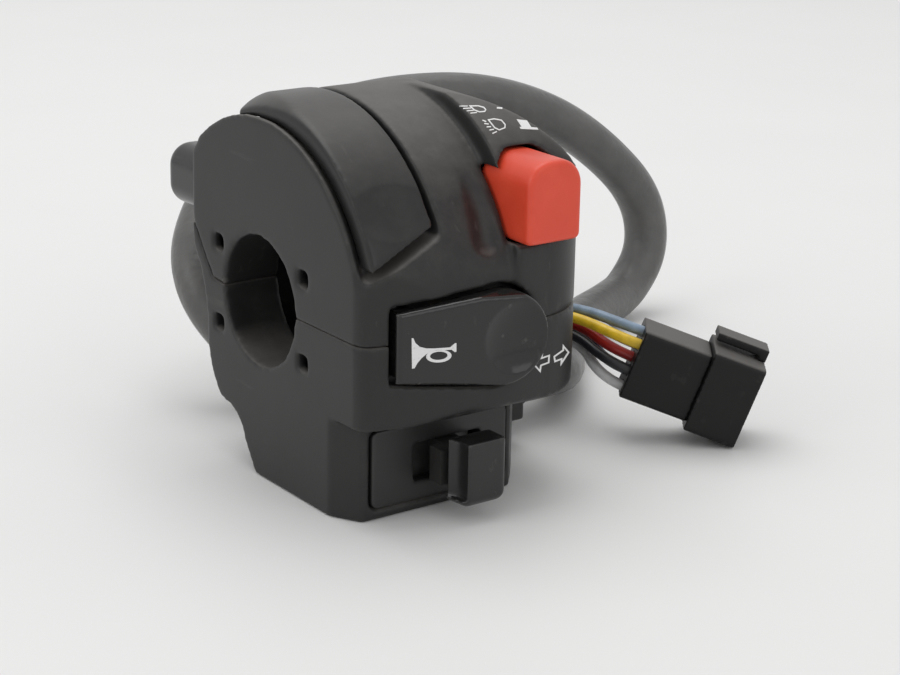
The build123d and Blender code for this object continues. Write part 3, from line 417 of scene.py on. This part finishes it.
case_halves = (upper, lower)
prints = [
    printed("horn_symbol_bell", [HORN_BELL], (horn,), "horn"),
    printed("horn_symbol_ring", [HORN_RING, HORN_RING_HOLE], (horn,), "horn"),
    printed("turn_arrow_left", [ARROW_LEFT, shrunk(ARROW_LEFT, ARROW_LINE)], case_halves, "case"),
    printed("turn_arrow_right", [ARROW_RIGHT, shrunk(ARROW_RIGHT, ARROW_LINE)], case_halves, "case"),
    printed("dipped_lamp", [DIPPED_LAMP, shrunk(DIPPED_LAMP, LAMP_LINE)], case_halves, "case"),
    printed("main_lamp", [MAIN_LAMP, shrunk(MAIN_LAMP, LAMP_LINE)], case_halves, "case"),
    printed("dipped_rays", [stroke(a, b, RAY_W) for a, b in DIPPED_RAYS], case_halves, "case"),
    printed("main_rays", [stroke(a, b, MAIN_RAY_W) for a, b in MAIN_RAYS], case_halves, "case"),
    printed("short_mark", [SHORT_MARK], case_halves, "case"),
    printed("block_mark", [BLOCK_MARK], case_halves, "case"),
]

# %% [markdown]
# ## Shader sums
#
# A finish is a few sums of noise patterns. So that these read like sums, a small class wraps a
# socket and turns Python's operators into Math nodes. One method makes every other node.

# %% Finish builder


class Link:
    """An output socket that takes part in sums."""

    def __init__(self, finish, socket):
        self.finish, self.socket = finish, socket

    def sum(self, operation, first, second):
        return self.finish.node("ShaderNodeMath", {"operation": operation}, {0: first, 1: second})

    def __add__(self, other):
        return self.sum("ADD", self, other)

    __radd__ = __add__

    def __sub__(self, other):
        return self.sum("SUBTRACT", self, other)

    def __rsub__(self, other):
        return self.sum("SUBTRACT", other, self)

    def __mul__(self, other):
        return self.sum("MULTIPLY", self, other)

    __rmul__ = __mul__

    def clipped(self, low, high):
        """The share of the way from low to high, held between 0 and 1."""
        inputs = {"Value": self, "From Min": low, "From Max": high}
        return self.finish.node("ShaderNodeMapRange", {"clamp": True}, inputs)


class Finish:
    """A material built from one Principled shader and sums of patterns."""

    def __init__(self, name, **constants):
        self.material = bpy.data.materials.new(name)
        self.material.use_nodes = True
        self.tree = self.material.node_tree
        self.shader = self.tree.nodes["Principled BSDF"]
        self.where = self.node("ShaderNodeTexCoord", out="Object")
        for socket, value in constants.items():
            self.shader.inputs[socket.replace("_", " ")].default_value = value

    def node(self, kind, settings=None, inputs=None, out=0):
        """Any node: its settings are set first, then its sockets from values or links."""
        made = self.tree.nodes.new(kind)
        for key, value in (settings or {}).items():
            setattr(made, key, value)
        for key, value in (inputs or {}).items():
            if isinstance(value, Link):
                self.tree.links.new(value.socket, made.inputs[key])
            else:
                made.inputs[key].default_value = value
        return Link(self, made.outputs[out])

    def noise(self, size, detail=2.0, stretch=None, rough=0.5):
        """Noise whose lumps are about a size across, stretched along the axes where asked."""
        where = self.where
        if stretch:
            where = self.node("ShaderNodeMapping", None, {"Vector": where, "Scale": stretch})
        settings = {"noise_dimensions": "3D"}
        inputs = {"Vector": where, "Scale": 1 / size, "Detail": detail, "Roughness": rough}
        return self.node("ShaderNodeTexNoise", settings, inputs)

    def blend(self, share, first, second):
        """A colour between two colours."""
        return self.node("ShaderNodeMix", {"data_type": "RGBA"}, {0: share, 6: first, 7: second}, out=2)

    def convex(self, low, high):
        """A mask of outer edges, from how far the surface bulges."""
        return self.node("ShaderNodeNewGeometry", out="Pointiness").clipped(low, high)

    def upward(self, low, high):
        """A mask of surfaces that face up."""
        normal = self.node("ShaderNodeNewGeometry", out="Normal")
        return self.node("ShaderNodeSeparateXYZ", None, {0: normal}, out="Z").clipped(low, high)

    def feed(self, socket, value):
        self.tree.links.new(value.socket, self.shader.inputs[socket])

    def bump(self, height, depth, strength=1.0):
        """Relief whose height runs from 0 to 1 over a depth."""
        made = self.node("ShaderNodeBump", None, {"Height": height, "Distance": depth, "Strength": strength})
        self.feed("Normal", made)


def painted(finish, *pieces):
    """Gives pieces a finish, in every slot that they have."""
    for piece in pieces:
        slots = piece.material_slots
        if len(slots) == 0:
            piece.data.materials.append(finish.material)
        for slot in slots:
            slot.link = "OBJECT"
            slot.material = finish.material


def grey(level, warm=0.0):
    """A neutral colour, a little warm where asked."""
    return (level * (1 + warm), level, level * (1 - warm), 1)


# %% [markdown]
# ## Black mouldings
#
# The case is black plastic with a fine spark-eroded texture. Years of use leave it slightly
# grey: dust sits in the texture where it faces up, thin scratches catch the light, and the
# outer edges are polished paler. Faces that look up also get an even pale film in their colour,
# a painted highlight of the light from above. The lever is the same plastic with a smoother
# mould, and the horn paddle and the turn knob are glossy.

# %% Black plastics


def black_plastic(name, level, rough, grain, dust, wear, film=0.0, shine=0.5):
    """Black moulded plastic: texture depth, dust in patches, a painted highlight as an even pale film on faces
    that look up, and pale worn edges.
    """
    finish = Finish(name, IOR=1.5, Specular_IOR_Level=shine)
    cloudy = finish.noise(11 * MM, 4.0, rough=0.6)
    patches = finish.noise(4 * MM, 6.0, rough=0.7)
    fine = finish.noise(0.32 * MM, 2.0)
    scratch = finish.noise(1.4 * MM, 3.0, stretch=(1.0, 0.06, 0.5)).clipped(0.64, 0.70)
    scratch = scratch * finish.noise(7 * MM, 1.0).clipped(0.5, 0.62)
    # Dust in patches on faces that look up, plus an even pale film there: a painted highlight of the overhead
    # light.
    dust_and_top_highlight = finish.upward(-0.1, 0.9) * patches.clipped(0.42, 0.72) * dust + finish.upward(0.6, 0.95) * film
    worn = finish.convex(0.52, 0.60) * patches.clipped(0.3, 0.65) * wear
    pale = (dust_and_top_highlight + worn + scratch * (0.35 * wear)).clipped(0, 1)
    base = finish.blend(cloudy, grey(level * 0.8), grey(level * 1.25, 0.03))
    finish.feed("Base Color", finish.blend(pale, base, grey(0.17, 0.06)))
    finish.feed("Roughness", (rough + (cloudy - 0.5) * 0.16 + pale * 0.25).clipped(0, 1))
    finish.bump(fine * 0.7 + patches * 0.3, grain)
    return finish


# The sixth number, film, is the strength of the painted highlight on faces that look up.
case_finish = black_plastic("case_plastic", 0.017, 0.43, 0.02 * MM, 0.16, 0.30, 0.45, 0.36)
lever_finish = black_plastic("lever_plastic", 0.013, 0.34, 0.012 * MM, 0.08, 0.20, 0.2, 0.36)
horn_finish = black_plastic("horn_plastic", 0.012, 0.12, 0.003 * MM, 0.03, 0.25)
knob_finish = black_plastic("knob_plastic", 0.012, 0.22, 0.004 * MM, 0.03, 0.22)
plate_finish = black_plastic("plate_plastic", 0.017, 0.40, 0.01 * MM, 0.05, 0.12)
plug_finish = black_plastic("plug_plastic", 0.008, 0.40, 0.012 * MM, 0.06, 0.12, 0.6, 0.25)
rubber_finish = black_plastic("boot_rubber", 0.016, 0.60, 0.02 * MM, 0.12, 0.10)
painted(case_finish, upper, lower)
painted(lever_finish, lever)
painted(horn_finish, horn)
painted(knob_finish, knob, passing)
painted(plate_finish, plate)
painted(plug_finish, housing, shroud, latch)
painted(rubber_finish, boot)
inner_nodes = ["horn_base", "beam_switch_body", "turn_carriage", "turn_switch_body", "passing_switch_body"]
painted(plate_finish, *[frame["nodes"][n] for n in inner_nodes])

# %% [markdown]
# ## Red button
#
# The beam button is dyed right through, so its wear doesn't show as another colour. It is a
# satin orange red whose tone drifts a little lighter and darker in clouds, with fine handling marks.

# %% Red plastic
red = Finish("red_plastic", IOR=1.49, Subsurface_Weight=0.12, Subsurface_Radius=(0.004, 0.001, 0.0008),
             Subsurface_Scale=0.5)
cloud = red.noise(5 * MM, 4.0)
marks = red.noise(0.8 * MM, 4.0, stretch=(1.0, 0.3, 0.3)).clipped(0.6, 0.8)
red.feed("Base Color", red.blend(cloud, (0.66, 0.055, 0.024, 1), (0.80, 0.085, 0.04, 1)))
red.feed("Roughness", (0.36 + (cloud - 0.5) * 0.12 + marks * 0.15).clipped(0, 1))
red.bump(red.noise(0.5 * MM, 2.0) * 0.6 + marks * 0.4, 0.006 * MM)
painted(red, beam)

# %% [markdown]
# ## Vinyl, print and metal
#
# The loom is dull vinyl that has gone slack, with shallow wrinkles round it. The wires are
# glossier, and each has a little grime. The print is thin white ink with worn spots. The
# screws, springs and terminals are plated metal with fine brushing.

# %% Other finishes
vinyl = Finish("loom_vinyl", IOR=1.5, Sheen_Weight=0.15, Sheen_Roughness=0.5)
slack = vinyl.noise(7 * MM, 3.0, rough=0.6)
wrinkle = vinyl.noise(2.2 * MM, 4.0, rough=0.55)
vinyl.feed("Base Color", vinyl.blend(slack, grey(0.065, 0.01), grey(0.12, 0.03)))
vinyl.feed("Roughness", (0.42 + (wrinkle - 0.5) * 0.25).clipped(0, 1))
vinyl.bump(slack * 0.7 + wrinkle * 0.3, 0.5 * MM)
painted(vinyl, loom)


def wire_vinyl(name, colour):
    """Glossy coloured insulation with faint grime."""
    finish = Finish(name, IOR=1.5)
    grime = finish.noise(3 * MM, 4.0).clipped(0.35, 0.85)
    darker = tuple(c * 0.55 for c in colour[:3]) + (1,)
    finish.feed("Base Color", finish.blend(grime, colour, darker))
    finish.feed("Roughness", (0.3 + grime * 0.25).clipped(0, 1))
    finish.bump(finish.noise(0.9 * MM, 2.0), 0.015 * MM)
    return finish


WIRE_COLOURS = {
    "wire_grey": (0.60, 0.60, 0.60, 1), "wire_blue": (0.012, 0.03, 0.10, 1),
    "wire_black": (0.012, 0.012, 0.016, 1), "wire_red": (0.50, 0.03, 0.025, 1),
    "wire_white": (0.72, 0.70, 0.68, 1), "wire_yellow": (0.90, 0.60, 0.03, 1),
    "wire_pale_blue": (0.28, 0.38, 0.50, 1),
}
for node, colour in WIRE_COLOURS.items():
    painted(wire_vinyl(node, colour), wires[node])

ink = Finish("white_print", IOR=1.45)
patchy = ink.noise(0.7 * MM, 3.0).clipped(0.2, 0.42)
ink.feed("Base Color", ink.blend(patchy, grey(0.55), grey(0.80)))
ink.feed("Roughness", (0.62 - patchy * 0.12).clipped(0, 1))
ink.bump(ink.noise(0.3 * MM), 0.01 * MM)
painted(ink, *prints)


def metal(name, colour, rough):
    """Plated metal with fine brushing."""
    finish = Finish(name, Metallic=1.0)
    brushed = finish.noise(0.25 * MM, 3.0, stretch=(1.0, 1.0, 0.1))
    darker = tuple(c * 0.75 for c in colour[:3]) + (1,)
    finish.feed("Base Color", finish.blend(brushed, colour, darker))
    finish.feed("Roughness", (rough + brushed * 0.15).clipped(0, 1))
    finish.bump(brushed, 0.004 * MM)
    return finish


steel = metal("steel", (0.56, 0.56, 0.55, 1), 0.28)
brass = metal("brass", (0.72, 0.55, 0.28, 1), 0.25)
painted(steel, *[frame["nodes"][n] for n in ("case_screws", "choke_washer", "horn_pivot_pin", "detent_ball",
                                             "horn_spring", "beam_spring", "turn_push_spring", "detent_spring",
                                             "passing_spring")])
painted(brass, *[frame["nodes"][n] for n in ("horn_contacts", "turn_contact_plate", "connector_terminals")])

# %% [markdown]
# ## Table, sky and lamps
#
# The cluster lies on a white table that runs back out of sight. The camera and the glossy
# surfaces see a bright white room, and a few large soft lamps light the piece at a plain level:
# one overhead and behind, which draws the pale line along the lever and the paddle, one on the
# left and a weak one from the front.

# %% Stage
TABLE_Z, TABLE_SIZE = -31.0 * MM, 8
ROOM_LIGHT, ROOM_SEEN = 0.62, 0.80      # how bright the room is as a lamp, and to the eye
AIM = Vector((0.03, 0, 0))              # the middle of the cluster
bpy.ops.mesh.primitive_plane_add(size=TABLE_SIZE, location=(0, 0, TABLE_Z))
table = bpy.context.view_layer.objects.active
table.name = "table"
top = Finish("table_top", Roughness=0.55, IOR=1.45)
haze = top.noise(60 * MM, 3.0)
top.feed("Base Color", top.blend(haze, (0.80, 0.80, 0.795, 1), (0.83, 0.83, 0.825, 1)))
painted(top, table)

world = bpy.data.worlds.new("room")
scene.world = world
world.use_nodes = True
room = world.node_tree
background = room.nodes["Background"]
path = room.nodes.new("ShaderNodeLightPath")
seen = room.nodes.new("ShaderNodeMath")
seen.operation = "MAXIMUM"
room.links.new(path.outputs["Is Camera Ray"], seen.inputs[0])
room.links.new(path.outputs["Is Glossy Ray"], seen.inputs[1])
strength = room.nodes.new("ShaderNodeMapRange")
strength.inputs["To Min"].default_value = ROOM_LIGHT
strength.inputs["To Max"].default_value = ROOM_SEEN
room.links.new(seen.outputs[0], strength.inputs["Value"])
background.inputs["Color"].default_value = (1, 1, 1, 1)
room.links.new(strength.outputs[0], background.inputs["Strength"])


def soft_lamp(name, place, size, power):
    """A square area lamp that looks at the cluster's middle."""
    data = bpy.data.lights.new(name, "AREA")
    data.shape = "SQUARE"
    data.size = size
    data.energy = power
    lamp = bpy.data.objects.new(name, data)
    scene.collection.objects.link(lamp)
    place = Vector(place)
    aim = AIM - place
    lamp.matrix_world = Matrix.Translation(place) @ aim.to_track_quat("-Z", "Y").to_matrix().to_4x4()
    return lamp


soft_lamp("overhead", (0.1, 0.25, 0.9), 0.8, 3.7)
soft_lamp("left", (-0.8, 0.1, 0.5), 0.5, 1.2)
soft_lamp("front", (0.2, -0.9, 0.5), 0.6, 0.9)

scene.view_settings.view_transform = "Standard"
